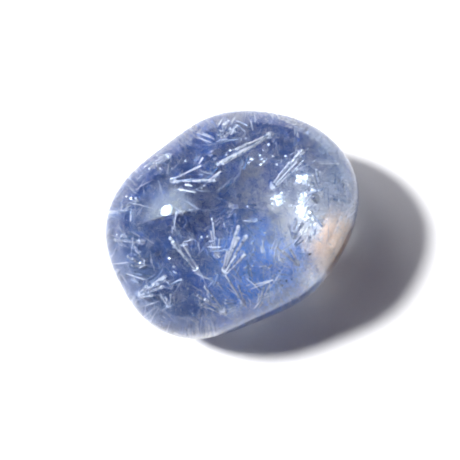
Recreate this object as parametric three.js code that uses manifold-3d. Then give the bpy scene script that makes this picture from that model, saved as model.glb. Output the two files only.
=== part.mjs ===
// Dumortierite in quartz: a tumbled pebble of clear quartz with sprays of blue needles grown inside it.
// Millimetres, +Z up, +X along the pebble. The origin is under its middle, on what it rests on.
// The clear stone is one piece in nature. It is parted at its girdle here, so that each spray can
// stand in a pocket of its own.

import * as THREE from "three";
import { ConvexGeometry } from "three/addons/geometries/ConvexGeometry.js";
import { mergeVertices } from "three/addons/utils/BufferGeometryUtils.js";
import Module from "manifold-3d";

const wasm = await Module();
wasm.setup();

// The plan outline: a squared ellipse with three and five low lobes, as tumbling left it
const HALF_LENGTH = 8.21;
const HALF_WIDTH = 6.46;
const PLAN_SQUARENESS = 2.22;
const LOBES = [
  { count: 3, height: 0.065, at: -30 },
  { count: 5, height: 0.145, at: -4 },
];

// The side profile: a crown over the girdle, and a flatter underside worn to a small flat base
const GIRDLE_HEIGHT = 4.4;
const CROWN_HEIGHT = 4.6;
const SHOULDER_ROUNDNESS = 2.15;
const CROWN_ROUNDNESS = 2.3;
const UNDERSIDE_ROUNDNESS = 2.9;
const BASE_SHARE = 0.38;
const PARTING_GAP = 0.02;

// How finely the skin is faceted
const AROUND = 50;
const CROWN_RINGS = 9;
const UNDERSIDE_RINGS = 8;

// The needles: rods half as thick at the root as at their blunt ends, six-sided in the thicker sprays
// over the girdle and four-sided in the rest. They are seated near the end of a short stem, spaced by a
// share of their thickness, and some are thinner and shorter
const THICK_NEEDLE_SIDES = 6;
const THIN_NEEDLE_SIDES = 4;
const THICK_FROM = 0.21;
const ROOT_SHARE = 0.5;
const STEM_LENGTH = 0.4;
const SEAT_SHARE = 0.8;
const SPACING = 0.65;
const THINNEST_SHARE = 0.65;
const SHORTEST_SHARE = 0.6;

// Where the sprays stand: the roots' distance from the girdle, the quartz left over the longest
// needles' ends, and the free room round them
const ROOT_RISE = 0.55;
const SKIN_COVER = 0.75;
const POCKET_CLEARANCE = 0.3;

const QUARTZ_COLOUR = "#c9d2ea";
const DUMORTIERITE_COLOUR = "#5468b4";

const degrees = THREE.MathUtils.degToRad;
const OUTLINE_STEP = degrees(1);
const GOLDEN_ANGLE = degrees(137.5);
const GOLDEN_SHARE = 0.618;
const ICOSAHEDRON_INNER_SHARE = Math.sqrt((5 + 2 * Math.sqrt(5)) / 15);
const LENGTH_ERROR = 0.001;
const MERGE_DISTANCE = 0.0001;

// A full superellipse profile would end this far below the girdle; the flat base cuts it at z = 0
const KEEL_DEPTH = GIRDLE_HEIGHT / (1 - BASE_SHARE ** SHOULDER_ROUNDNESS) ** (1 / UNDERSIDE_ROUNDNESS);

const BASE_ANGLE = Math.acos(BASE_SHARE ** (SHOULDER_ROUNDNESS / 2));

// The halves: each has rings of skin at even angles, from the girdle to its crown or its flat base
const CROWN = {
  side: 1,
  reach: CROWN_HEIGHT,
  roundness: CROWN_ROUNDNESS,
  rings: CROWN_RINGS,
  ringAngle: Math.PI / 2 / CROWN_RINGS,
  end: GIRDLE_HEIGHT + CROWN_HEIGHT,
};
const UNDERSIDE = {
  side: -1,
  reach: KEEL_DEPTH,
  roundness: UNDERSIDE_ROUNDNESS,
  rings: UNDERSIDE_RINGS,
  ringAngle: BASE_ANGLE / (UNDERSIDE_RINGS - 1),
  end: 0,
};

// Each spray frays from a stem whose root is beside the girdle, and fans out round the line to its tip.
// Root and tip are places in plan, read off the stone; the needles end where they come near the skin.
// "spread" is the half-angle of the fan in degrees, and "roll" turns the fan round its own line.
const CROWN_SPRAYS = [
  { name: "front_left", root: [-3.5, -1.8], tip: [-4.1, 0], needles: 3, spread: 6, thickness: 0.24 },
  { name: "front_edge", root: [-3.5, -4.4], tip: [-4.3, -3.6], needles: 6, spread: 14, thickness: 0.18 },
  { name: "centre", root: [-2.4, -2.5], tip: [-0.9, -2.2], needles: 6, spread: 12, thickness: 0.22 },
  { name: "centre_back", root: [-2.2, -1.6], tip: [-1.8, -0.8], needles: 4, spread: 11, thickness: 0.16 },
  { name: "front_middle", root: [-2.3, -4.5], tip: [-2.5, -3.7], needles: 4, spread: 10, thickness: 0.16 },
  { name: "front_right", root: [1.6, -4.2], tip: [1.1, -3.7], needles: 3, spread: 9, thickness: 0.16 },
  { name: "right_long", root: [2.6, 0.1], tip: [5.4, 0.7], needles: 5, spread: 5, thickness: 0.2 },
  { name: "right_thick", root: [3.2, -4.3], tip: [4.7, -4.1], needles: 6, spread: 11, thickness: 0.28 },
  { name: "right_upright", root: [2.1, -2.8], tip: [2.6, -2.9], needles: 4, spread: 12, thickness: 0.22 },
  { name: "back_left", root: [-2.1, 3.3], tip: [-0.3, 2.3], needles: 2, spread: 15, thickness: 0.2, roll: -150 },
  { name: "left", root: [-5.8, 0], tip: [-6.5, 0.8], needles: 6, spread: 22, thickness: 0.2 },
  { name: "left_thick", root: [-7, -1.2], tip: [-6.4, -1.6], needles: 6, spread: 12, thickness: 0.26 },
  { name: "left_front", root: [-5.9, -2.6], tip: [-6.1, -2.4], needles: 3, spread: 14, thickness: 0.18 },
  { name: "left_long", root: [-5.1, 1.2], tip: [-6.7, 2.4], needles: 4, spread: 9, thickness: 0.18 },
  { name: "left_back", root: [-4.2, 3.4], tip: [-5.2, 3.6], needles: 5, spread: 20, thickness: 0.18 },
  { name: "back_edge", root: [-1.3, 4.5], tip: [-2.7, 4.9], needles: 5, spread: 20, thickness: 0.2 },
  { name: "back", root: [1.8, 3.9], tip: [2.5, 4.6], needles: 5, spread: 18, thickness: 0.22 },
  { name: "back_long", root: [4.4, 2.7], tip: [0.8, 2.6], needles: 3, spread: 4, thickness: 0.24 },
  { name: "back_right", root: [6, 2.4], tip: [5.6, 3.3], needles: 5, spread: 18, thickness: 0.2 },
  { name: "right", root: [4.8, -1.6], tip: [5.2, -1], needles: 4, spread: 14, thickness: 0.18 },
  { name: "right_edge", root: [6.4, -1.4], tip: [6.6, -2.2], needles: 5, spread: 18, thickness: 0.2 },
  { name: "front_fan", root: [-1.6, -5.1], tip: [-1, -5], needles: 4, spread: 14, thickness: 0.16 },
];

const UNDERSIDE_SPRAYS = [
  { name: "under_middle", root: [0.4, 0.4], tip: [-0.8, 0.9], needles: 6, spread: 24, thickness: 0.24 },
  { name: "under_left", root: [-4.4, 1.2], tip: [-5, 0.4], needles: 6, spread: 22, thickness: 0.22 },
  { name: "under_right", root: [4.3, -1], tip: [5, -0.4], needles: 6, spread: 22, thickness: 0.22 },
  { name: "under_front", root: [0.2, -3.6], tip: [0.8, -4], needles: 5, spread: 20, thickness: 0.22 },
  { name: "under_back", root: [1.2, 3.6], tip: [0.6, 3.9], needles: 5, spread: 20, thickness: 0.22 },
  { name: "under_left_front", root: [-3.8, -2.8], tip: [-4.4, -3], needles: 5, spread: 20, thickness: 0.22 },
  { name: "under_left_edge", root: [-6.3, -0.8], tip: [-6.9, -1.1], needles: 4, spread: 30, thickness: 0.2 },
  { name: "under_left_back", root: [-5, 3.4], tip: [-5.7, 3.6], needles: 4, spread: 30, thickness: 0.2 },
  { name: "under_back_edge", root: [-2.1, 3.9], tip: [-2.8, 4.5], needles: 5, spread: 30, thickness: 0.2 },
  { name: "under_right_back", root: [4.2, 2.3], tip: [5, 2.9], needles: 5, spread: 30, thickness: 0.2 },
  { name: "under_right_front", root: [3.5, -3.9], tip: [4.2, -4.4], needles: 5, spread: 30, thickness: 0.2 },
  { name: "under_front_edge", root: [-1.9, -4.6], tip: [-2.2, -5.1], needles: 4, spread: 30, thickness: 0.2 },
  { name: "under_centre_front", root: [-0.7, -1.7], tip: [-0.9, -2], needles: 4, spread: 26, thickness: 0.2 },
  { name: "under_centre_left", root: [-2.3, 1.7], tip: [-2.5, 2], needles: 4, spread: 26, thickness: 0.2 },
  { name: "under_right_edge", root: [6.1, -2.1], tip: [6.6, -2.4], needles: 4, spread: 26, thickness: 0.2 },
];

// Distance from the outline's own centre to its edge, at an angle in radians
function outlineRadius(angle) {
  const along = Math.abs(Math.cos(angle) / HALF_LENGTH) ** PLAN_SQUARENESS;
  const across = Math.abs(Math.sin(angle) / HALF_WIDTH) ** PLAN_SQUARENESS;
  const oval = (along + across) ** (-1 / PLAN_SQUARENESS);
  const bump = ({ count, height, at }) => height * Math.cos(count * (angle - degrees(at)));
  return LOBES.reduce((radius, lobe) => radius + bump(lobe), oval);
}

// The lobes push the outline off its own centre, so the middle of its box is worked out
function middleOfOutline() {
  const box = new THREE.Box2();
  for (let angle = 0; angle < 2 * Math.PI; angle += OUTLINE_STEP) {
    const radius = outlineRadius(angle);
    box.expandByPoint(new THREE.Vector2(radius * Math.cos(angle), radius * Math.sin(angle)));
  }
  return box.getCenter(new THREE.Vector2());
}

const OUTLINE_MIDDLE = middleOfOutline();

// Share of the outline that the skin keeps at a height above or below the girdle
function shareAtHeight(height, half) {
  const rest = Math.max(0, 1 - (height / half.reach) ** half.roundness);
  return rest ** (1 / SHOULDER_ROUNDNESS);
}

// A ring of the skin, as points from the outline shrunk to a share of itself
function ringOfSkin(share, z) {
  return Array.from({ length: AROUND }, (_, step) => {
    const angle = (step / AROUND) * 2 * Math.PI;
    const radius = share * outlineRadius(angle);
    const x = radius * Math.cos(angle) - OUTLINE_MIDDLE.x;
    const y = radius * Math.sin(angle) - OUTLINE_MIDDLE.y;
    return new THREE.Vector3(x, y, z);
  });
}

// Half of the stone: rings from the girdle to the crown or the base, closed at both ends by a fan
function halfOfStone(half) {
  const points = [];
  for (let ring = 0; ring < half.rings; ring++) {
    const sine = Math.sin(ring * half.ringAngle);
    const rise = Math.max(PARTING_GAP / 2, half.reach * sine ** (2 / half.roundness));
    points.push(...ringOfSkin(shareAtHeight(rise, half), GIRDLE_HEIGHT + half.side * rise));
  }
  const middleAt = (z) => new THREE.Vector3(-OUTLINE_MIDDLE.x, -OUTLINE_MIDDLE.y, z);
  points.push(middleAt(points[0].z), middleAt(half.end));

  const triangles = [];
  const face = points.length - 2;
  const end = points.length - 1;
  const lastRing = (half.rings - 1) * AROUND;
  for (let step = 0; step < AROUND; step++) {
    const next = (step + 1) % AROUND;
    triangles.push([face, next, step], [end, lastRing + step, lastRing + next]);
    for (let ring = 0; ring < half.rings - 1; ring++) {
      const low = ring * AROUND;
      const high = low + AROUND;
      triangles.push([low + step, low + next, high + next], [low + step, high + next, high + step]);
    }
  }
  const facingOut = half.side > 0 ? triangles : triangles.map(([a, b, c]) => [a, c, b]);
  return new THREE.BufferGeometry().setFromPoints(points).setIndex(facingOut.flat());
}

// Under 1 inside the stone and over 1 outside it, for the skin moved inwards by a cover
function fullness(point, half, cover) {
  const x = point.x + OUTLINE_MIDDLE.x;
  const y = point.y + OUTLINE_MIDDLE.y;
  const share = Math.hypot(x, y) / (outlineRadius(Math.atan2(y, x)) - cover);
  const rise = Math.abs(point.z - GIRDLE_HEIGHT) / (half.reach - cover);
  const belowBase = point.z < cover ? 1 : 0;
  return share ** SHOULDER_ROUNDNESS + rise ** half.roundness + belowBase;
}

// How far a line can run from a point before it meets the covered skin
function lengthToSkin(start, direction, half) {
  let inside = 0;
  let outside = 2 * HALF_LENGTH;
  while (outside - inside > LENGTH_ERROR) {
    const middle = (inside + outside) / 2;
    const reached = start.clone().addScaledVector(direction, middle);
    if (fullness(reached, half, SKIN_COVER) < 1) inside = middle;
    else outside = middle;
  }
  return inside;
}

// The point over a place in plan that lies on the covered skin
function underSkin([x, y], half) {
  const start = new THREE.Vector3(x, y, GIRDLE_HEIGHT);
  const direction = new THREE.Vector3(0, 0, half.side);
  return start.addScaledVector(direction, lengthToSkin(start, direction, half));
}

// How many sides a spray's needles have
function sidesOf(spray, half) {
  return half.side > 0 && spray.thickness > THICK_FROM ? THICK_NEEDLE_SIDES : THIN_NEEDLE_SIDES;
}

// A spray's rods: the stem, then the needles that leave its end. They are laid out on the golden
// angle, which fills the fan evenly and keeps them apart
function rodsOf(spray, half) {
  const sides = sidesOf(spray, half);
  const root = new THREE.Vector3(...spray.root, GIRDLE_HEIGHT + half.side * ROOT_RISE);
  const axis = underSkin(spray.tip, half).sub(root).normalize();
  const across = new THREE.Vector3(0, 0, 1).cross(axis).normalize();
  const upwards = axis.clone().cross(across);
  const seat = root.clone().addScaledVector(axis, SEAT_SHARE * STEM_LENGTH);
  const rootThickness = ROOT_SHARE * spray.thickness;
  const bundle = SPACING * rootThickness * Math.sqrt(spray.needles);
  const needles = Array.from({ length: spray.needles }, (_, order) => {
    const out = Math.sqrt((order + 0.5) / spray.needles);
    const turn = order * GOLDEN_ANGLE + degrees(spray.roll ?? 0);
    const aside = across.clone().multiplyScalar(Math.cos(turn)).addScaledVector(upwards, Math.sin(turn));
    const lean = Math.tan(degrees(spray.spread)) * out;
    const direction = axis.clone().addScaledVector(aside, lean).normalize();
    const start = seat.clone().addScaledVector(aside, bundle * out);
    const unevenness = (order * GOLDEN_SHARE) % 1;
    const length = lengthToSkin(start, direction, half) * (1 - (1 - SHORTEST_SHARE) * unevenness);
    const thickness = spray.thickness * (1 - (1 - THINNEST_SHARE) * unevenness);
    return { start, direction, length, thickness, sides };
  });
  const stem = {
    start: root,
    direction: axis,
    length: STEM_LENGTH,
    thickness: (2 * bundle + rootThickness) / Math.cos(Math.PI / sides),
    sides,
  };
  return [stem, ...needles];
}

// One rod: blunt and flat-sided, from its start along its direction
function rodShape({ start, direction, length, thickness, sides }) {
  const end = thickness / 2;
  const shape = new THREE.CylinderGeometry(end, end * ROOT_SHARE, length, sides);
  shape.translate(0, length / 2, 0);
  shape.applyQuaternion(new THREE.Quaternion().setFromUnitVectors(new THREE.Vector3(0, 1, 0), direction));
  return shape.translate(start.x, start.y, start.z);
}

// A pocket: the hull of balls round the stem's root and the needles' ends, with its mouth at the girdle
function pocketOf([stem, ...needles]) {
  const corners = [];
  const addBall = (centre, thickness) => {
    const radius = (POCKET_CLEARANCE + thickness / 2) / ICOSAHEDRON_INNER_SHARE;
    const place = new THREE.IcosahedronGeometry(radius, 0).getAttribute("position");
    for (let corner = 0; corner < place.count; corner++) {
      corners.push(new THREE.Vector3().fromBufferAttribute(place, corner).add(centre));
    }
  };
  addBall(stem.start, stem.thickness);
  addBall(stem.start.clone().setZ(GIRDLE_HEIGHT), stem.thickness);
  needles.forEach(({ start, direction, length, thickness }) => {
    addBall(start.clone().addScaledVector(direction, length), thickness);
  });
  return new ConvexGeometry(corners);
}

// A shape as a closed solid, which can be joined and cut
function solidOf(shape) {
  const bare = new THREE.BufferGeometry().setAttribute("position", shape.getAttribute("position"));
  bare.setIndex(shape.index);
  const merged = mergeVertices(bare, MERGE_DISTANCE);
  return new wasm.Manifold(
    new wasm.Mesh({
      numProp: 3,
      vertProperties: merged.getAttribute("position").array,
      triVerts: new Uint32Array(merged.index.array),
    }),
  );
}

// A solid as a shape again
function shapeOf(solid) {
  const { vertProperties, triVerts } = solid.getMesh();
  const shape = new THREE.BufferGeometry();
  shape.setAttribute("position", new THREE.BufferAttribute(vertProperties, 3));
  shape.setIndex(new THREE.BufferAttribute(triVerts, 1));
  return shape;
}

const joined = (solids) => solids.reduce((whole, solid) => whole.add(solid));

const quartz = new THREE.MeshStandardMaterial({
  color: QUARTZ_COLOUR,
  roughness: 0.04,
  metalness: 0,
  transparent: true,
  opacity: 0.35,
  flatShading: true,
});
const dumortierite = new THREE.MeshStandardMaterial({
  color: DUMORTIERITE_COLOUR,
  roughness: 0.3,
  metalness: 0,
  flatShading: true,
});

function meshOf(name, solid, material) {
  const mesh = new THREE.Mesh(shapeOf(solid), material);
  mesh.name = name;
  return mesh;
}

// A half of the stone with the sprays that stand in it
function halfWithSprays(name, half, sprays) {
  const group = new THREE.Group();
  const pockets = [];
  for (const spray of sprays) {
    const rods = rodsOf(spray, half);
    pockets.push(solidOf(pocketOf(rods)));
    const whole = joined(rods.map((rod) => solidOf(rodShape(rod))));
    group.add(meshOf(`spray_${spray.name}`, whole, dumortierite));
  }
  const stone = solidOf(halfOfStone(half)).subtract(joined(pockets));
  group.add(meshOf(name, stone, quartz));
  return group;
}

const pebble = new THREE.Group();
pebble.add(halfWithSprays("quartz_upper", CROWN, CROWN_SPRAYS));
pebble.add(halfWithSprays("quartz_lower", UNDERSIDE, UNDERSIDE_SPRAYS));

export default pebble;
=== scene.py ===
"""Dumortierite in quartz: a tumbled pebble of clear quartz full of fine blue needles, on a pale floor."""
import math
from functools import partial

import bpy
import numpy as np
from bpy.props import FloatProperty, FloatVectorProperty, IntProperty, PointerProperty
from bpy.types import Operator, Panel, PropertyGroup
from mathutils import Matrix


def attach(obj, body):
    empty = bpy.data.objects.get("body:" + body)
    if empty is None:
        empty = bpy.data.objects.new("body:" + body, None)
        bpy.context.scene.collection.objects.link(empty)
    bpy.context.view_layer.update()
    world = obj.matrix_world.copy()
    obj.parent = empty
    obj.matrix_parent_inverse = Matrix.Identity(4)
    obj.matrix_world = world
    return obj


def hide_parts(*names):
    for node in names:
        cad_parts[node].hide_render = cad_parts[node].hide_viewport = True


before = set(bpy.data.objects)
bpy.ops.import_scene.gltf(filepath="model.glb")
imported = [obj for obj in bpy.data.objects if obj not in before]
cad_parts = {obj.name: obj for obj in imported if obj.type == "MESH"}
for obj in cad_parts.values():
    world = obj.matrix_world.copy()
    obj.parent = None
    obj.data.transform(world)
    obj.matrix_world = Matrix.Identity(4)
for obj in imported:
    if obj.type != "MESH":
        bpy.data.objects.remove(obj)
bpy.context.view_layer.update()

bl_info = {
    "name": "Dumortierite in quartz",
    "version": (1, 0, 0),
    "blender": (4, 5, 0),
    "location": "View3D > Sidebar > Pebble",
    "description": "A tumbled quartz pebble with sealed sprays of dumortierite needles",
    "category": "Object",
}

MM = 0.001
GIRDLE_HEIGHT = 4.4 * MM
HALVES = ("quartz_upper", "quartz_lower")
SPRAYS = sorted(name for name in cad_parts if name.startswith("spray_"))
UP = np.array([0.0, 0.0, 1.0])

# One run of random numbers for all the inclusions, which the operators share in main's order
DRAW = np.random.default_rng(20)

# How soft the worn edge of the flat base is
BASE_SOFTNESS = 0.04 * MM

# The end that is nearly free of tufts, whose fibres also take painted light; the bluest place, whose brighter
# fibres paint the light that the dome focuses there; and the darkest, whose darker fibres paint shade; each
# by its middle and half-size
CLEAR_END = np.array([4.3, -1.8, 5.4]) * MM
CLEAR_SIZE = np.array([3.0, 2.4, 3.3]) * MM
LIT_BLUE_PLACE = np.array([-0.3, -2.9, 2.8]) * MM
LIT_BLUE_SIZE = np.array([4.2, 2.9, 3.4]) * MM
PAINTED_SHADE = np.array([-1.9, 1.5, 3.4]) * MM
PAINTED_SHADE_SIZE = np.array([2.8, 2.2, 2.6]) * MM

# Along the stone, where the needles' painted reflection fades in, and the share of it that the faint end
# keeps
PAINTED_LIGHT_FADE = (-5.5 * MM, -2.5 * MM)
LEAST_PAINTED_LIGHT = 0.75

# Along the stone, where its fibres go from pale to blue; the paler end is painted light, on the side that the
# key light comes from
LIT_END_REACH = (-6.5 * MM, -3.5 * MM)

# Under the skin at one end: from one plan angle to another, with painted amber light between the second two,
# which stands for the warm light that the stone focuses there
SKIN_TURN = (math.radians(-125), math.radians(18))
AMBER_TURN = (math.radians(-61), math.radians(-33))
SKIN_HEIGHT = (0.6 * MM, 6.4 * MM)

# Clusters of grains: middle and spread in millimetres, how many, greatest width, brightness.
# The first nine are white grains that paint the light the crown gathers there, the next three paint
# twinkling glints, the last three are dark.
CLUSTERS = (
    ((4.55, -0.47, 5.2), 0.1, 60, 0.26, 1.1),
    ((4.3, -0.34, 5.2), 0.1, 50, 0.26, 1.1),
    ((2.6, -0.6, 4.8), 0.14, 60, 0.17, 1.1),
    ((3.45, -1.95, 5.0), 0.19, 150, 0.22, 1.1),
    ((3.7, -2.45, 4.8), 0.18, 50, 0.17, 1.1),
    ((3.9, -1.3, 5.0), 0.18, 30, 0.15, 1.1),
    ((3.55, -2.0, 5.0), 0.4, 120, 0.09, 1.0),
    ((2.6, -0.6, 4.8), 0.25, 70, 0.09, 1.0),
    ((4.4, -0.4, 5.2), 0.2, 80, 0.09, 1.0),
    ((4.6, -0.9, 5.4), 0.5, 14, 0.14, 1.0),
    ((2.3, 2.2, 5.6), 0.5, 7, 0.19, 1.0),
    ((3.3, 1.5, 5.6), 0.6, 9, 0.18, 1.0),
    ((0.7, -4.5, 5.0), 0.3, 9, 0.13, 0.03),
    ((0.9, -1.6, 7.2), 0.02, 2, 0.16, 0.02),
    ((2.4, -4.3, 5.8), 0.03, 3, 0.18, 0.02),
)

# The scattered grains, whose white paints glints: brightness of the widest, which a stronger lamp lights than
# the needles, and the box that they are drawn in, in shares of the half-length, the half-width and the height
GRAIN_GLOW = 0.6
GRAIN_BOX = ((-1, -1, 0.55), (1, 1, 0.95))

# How a spray's needles are found in its solid: its root lies in a band by the girdle, its needles end
# beyond the stem, and the points of one end lie close together
ROOT_BAND = 0.15 * MM
STEM_REACH = 0.75 * MM
END_SPREAD = 0.32 * MM
END_POINTS = 4

# A line is cut at the skin by this many halvings, and is left out if less than the least share remains
HALVINGS = 12
LEAST_SHARE = 0.1

# Shares of the greatest size between which sizes are drawn: of the needles and the clusters' grains, then
# of the fibres' reach and the scattered grains. Next, shares of the fibre thickness, and the skin fibres'
# thickness as a multiple of it
SIZES = (0.3, 1)
LARGER_SIZES = (0.4, 1)
FIBRE_WIDTHS = (0.6, 1.4)
SKIN_FIBRE_STOUTNESS = 1.4

# Tufts: how they crowd at the root, how ragged their ceiling is, how they thin out in the clear end,
# the spread of their reach and their tint, and how far their fibres fan
TUFT_CROWDING = 1.5
CEILING_RAGGEDNESS = 0.4 * MM
CLEARING = 0.35
FEWEST_TUFTS = 0.02
REACH_SPREAD = (1.8, 2.5)
TUFT_TINT = (0.35, 0.3)
TUFT_FAN = 0.6

# Tufts under the skin: the share of them in the stretch of painted amber light, how deep they lie and how far
# they reach
AMBER_SHARE = 0.5
SKIN_COVER = 0.1 * MM
SKIN_DEPTH = (0.01, 0.19)
SKIN_REACH = (0.3, 0.7)

# Frays: where they start along a needle, how much of it they follow, how far they leave it, their tint
FRAY_START = (0, 0.6)
FRAY_LENGTH = (0.2, 0.6)
FRAY_STRAY = 0.06
FRAY_LOW_STRAY = 0.3
FRAY_TINT = (0.4, 1)

# Short needles: the fewest bundles, where they start, how far they stray and lean, and how each bundle
# spreads and splays
FEWEST_BUNDLES = 2
BUNDLE_START = (0.3, 1.05)
BUNDLE_STRAY = 0.8 * MM
BUNDLE_LEAN = (0.5, 0.6)
BUNDLE_SPREAD = 0.13 * MM
BUNDLE_SPLAY = 0.1

# Whiskers: where they start, how far they stray and how far they lean
WHISKER_START = (0, 0.7)
WHISKER_STRAY = 0.6 * MM
WHISKER_LEAN = 0.35

# Shades: from which fullness the rim pales, how much the rim and the painted light of the pale end do, and
# how uneven it is
RIM_FROM = 0.65
RIM_PALE = 0.35
LIT_END_PALE = 0.32
UNEVENNESS = 0.1
# How fast the painted light of the bluest place, the painted shade of the dark place and the painted light of
# the clear end set in, and how strong each is
LIT_BLUE_GAIN = 2.6
LIT_BLUE_PURITY = 0.85
PAINTED_SHADE_GAIN = 1.8
PAINTED_SHADE_DEPTH = 0.45
CLEAR_END_LIGHT_GAIN = 1.5
# How much painted reflection the rim and the pale end add, and the most that any fibre takes
RIM_LIGHT = 0.08
LIT_END_LIGHT = 0.1
MOST_LIGHT = 0.7
# How far the painted amber light fades past its stretch, how uneven it is, and the pale colour with painted
# reflection beside it
AMBER_FADE = 1.5
AMBER_SPREAD = (0.6, 1)
PLAIN_LIGHT = 0.17
PLAIN_PALE = 0.3

# Painted finishes by name and roughness, then the main needles' gloss and their streaks of painted reflection
FIBRE_FINISH = ("dumortierite_fibres", 0.45)
NEEDLE_FINISH = ("dumortierite_short_needles", 0.2)
NEEDLE_GLOSS = {"Roughness": 0.2, "Metallic": 0.2}
STREAKS_PER_METRE = 4000
STREAK_DETAIL = 2
STREAK_EDGES = (0.3, 0.5)

# What a map range node calls its value and the ends of its two spans
SPAN = ("Value", "From Min", "From Max", "To Min", "To Max")

# The picture: nearest distance seen, limit on bright sparkles and softness in pixels
NEAREST = 1 * MM
SPARKLE_LIMIT = 40
PICTURE_SOFTNESS = 2.1

# How far off the key light stands. The floor: half its side, its gap under the stone, its roughness
KEY_DISTANCE = 0.1
FLOOR_HALF = 0.6
FLOOR_GAP = 0.02 * MM
FLOOR_ROUGHNESS = 0.9

# The diffuser: its distance, half-angle and corners. Cosines or angles between which its lit spot, the
# glow near it, its tail and the rest of it fade, with the brightness of the tail and the least of the rest
DIFFUSER_REACH = 0.3
DIFFUSER_HALF_ANGLE = math.radians(45)
DIFFUSER_CORNERS = 48
SPOT_ANGLES = (math.radians(4.6), math.radians(0.8))
NEAR_SPAN = (0.93, 1.01)
TAIL_SPAN = (0.75, 1)
TAIL_GLOW = 2.3
FAR_SPAN = (0.5, 1.0)
LEAST_GLOW = 0.1
# How its upper edge tips and its side edge turns, and how soft each is
UPPER_TIP = 0.22
UPPER_EDGE = (-0.01, 0.02)
SIDE_TURN = 0.5
SIDE_EDGE = (0.04, 0.18)

# Kinds of setting that the groups below share
Length = partial(FloatProperty, unit="LENGTH")
Angle = partial(FloatProperty, unit="ROTATION")
Colour = partial(FloatVectorProperty, subtype="COLOR")


class PebbleSettings(PropertyGroup):
    """Sizes of the clear stone, and what its quartz does to light."""

    half_length: Length(
        name="Half length", default=8.21 * MM,
        description="Long half-axis of the plan outline, before its lobes")
    half_width: Length(
        name="Half width", default=6.46 * MM,
        description="Short half-axis of the plan outline, before its lobes")
    squareness: FloatProperty(
        name="Plan squareness", default=2.22,
        description="Exponent of the plan outline, where 2 is an ellipse")
    lobes: FloatVectorProperty(
        name="Lobe heights", default=(0.065 * MM, 0.145 * MM), size=2, unit="LENGTH",
        description="Height of the three low lobes and of the five")
    lobe_angles: FloatVectorProperty(
        name="Lobe angles", default=(math.radians(-30), math.radians(-4)),
        size=2, unit="ROTATION",
        description="Where a crest of each set of lobes points")
    crown: Length(name="Crown height", default=4.6 * MM, description="From the girdle to the top")
    base_share: FloatProperty(
        name="Base share", default=0.38, subtype="FACTOR",
        description="Share of the outline that the worn flat base covers")
    shoulder: FloatProperty(
        name="Shoulder roundness", default=2.15, description="Exponent of the profile along the plan")
    crown_roundness: FloatProperty(
        name="Crown roundness", default=2.3, description="Exponent of the profile's height over the girdle")
    under_roundness: FloatProperty(
        name="Underside roundness", default=2.9,
        description="Exponent of the profile's depth under the girdle")
    around: IntProperty(name="Steps around", default=320, description="Faces round the stone")
    rings: IntProperty(name="Rings", default=150, description="Rings of faces from the top to the base")
    ior: FloatProperty(name="Refractive index", default=1.545, description="Of quartz")
    roughness: FloatProperty(
        name="Polish roughness", default=0.0, subtype="FACTOR",
        description="How much the polish scatters light")
    haze: Colour(
        name="Absorption colour", default=(0.6, 0.74, 0.92), description="What the quartz lets through")
    haze_density: FloatProperty(
        name="Absorption density", default=10.0, description="Strength of the absorption, per metre")


class NeedleSettings(PropertyGroup):
    """Sizes, numbers and colours of the dumortierite, and the colours of the light painted on it."""

    tufts: IntProperty(name="Tufts per spray", default=230, description="Small tufts round each spray")
    tuft_fibres: IntProperty(name="Fibres per tuft", default=32, description="Of each small tuft")
    tuft_reach: Length(
        name="Tuft reach", default=1.9 * MM, description="Greatest length of a tuft's fibres")
    tuft_stray: Length(
        name="Tuft stray", default=1.0 * MM,
        description="How far the tufts stand from their spray's needles")
    tuft_ceiling: Length(
        name="Tuft ceiling", default=5.2 * MM,
        description="Height over which the stone is clear between its needles")
    fibre_width: Length(name="Fibre thickness", default=0.004 * MM, description="Of the fine fibres")
    fibre_cover: Length(
        name="Fibre cover", default=0.25 * MM,
        description="Quartz left between the fine fibres and the skin")
    # Painted light: these tufts carry painted reflection, and amber light in one stretch
    skin_tufts: IntProperty(
        name="Stained tufts", default=1100, description="Tufts under the skin at the stained end")
    frays: IntProperty(
        name="Frays per needle", default=16,
        description="Fine fibres that run along each main needle of a spray")
    bundles: IntProperty(
        name="Bundles per spray", default=12,
        description="Of short needles, round a spray at the stone's edge")
    bundle_needles: IntProperty(name="Needles per bundle", default=3, description="Short ones side by side")
    short_length: Length(
        name="Short needle length", default=1.3 * MM, description="Greatest length of the short needles")
    short_width: Length(
        name="Short needle thickness", default=0.13 * MM,
        description="Greatest thickness of the short needles")
    whiskers: IntProperty(name="Whiskers per spray", default=23, description="Thin needles round each spray")
    whisker_length: Length(
        name="Whisker length", default=2.4 * MM, description="Greatest length of the whiskers")
    whisker_width: Length(
        name="Whisker thickness", default=0.045 * MM, description="Greatest thickness of the whiskers")
    short_cover: Length(
        name="Short needle cover", default=0.3 * MM,
        description="Quartz left between the short needles and the skin")
    # Painted light: these grains are white and paint glints
    grains: IntProperty(name="Grains", default=130, description="Small bright grains among the needles")
    grain_size: Length(name="Grain size", default=0.14 * MM, description="Greatest width of the grains")
    deep: Colour(name="Deep blue", default=(0.012, 0.075, 0.41), description="Of the bluest fibres")
    # Painted light: the brighter blue of the fibres where the dome focuses the light
    heart: Colour(
        name="Heart blue", default=(0.22, 0.46, 1.0), description="Of the fibres in the bluest place")
    pale: Colour(name="Pale blue", default=(0.12, 0.21, 0.41), description="Of the palest fibres")
    # Painted light: the near-white that stands for reflections, glints and focused light on the needles
    painted_light: Colour(
        name="Silver", default=(0.86, 0.89, 0.96), description="Of the needles where they catch the light")
    # Painted light: the warm light that the stone focuses on the fibres under its skin at one end
    amber: Colour(name="Amber", default=(1.0, 0.74, 0.52), description="Of the stained fibres at one end")


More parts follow.
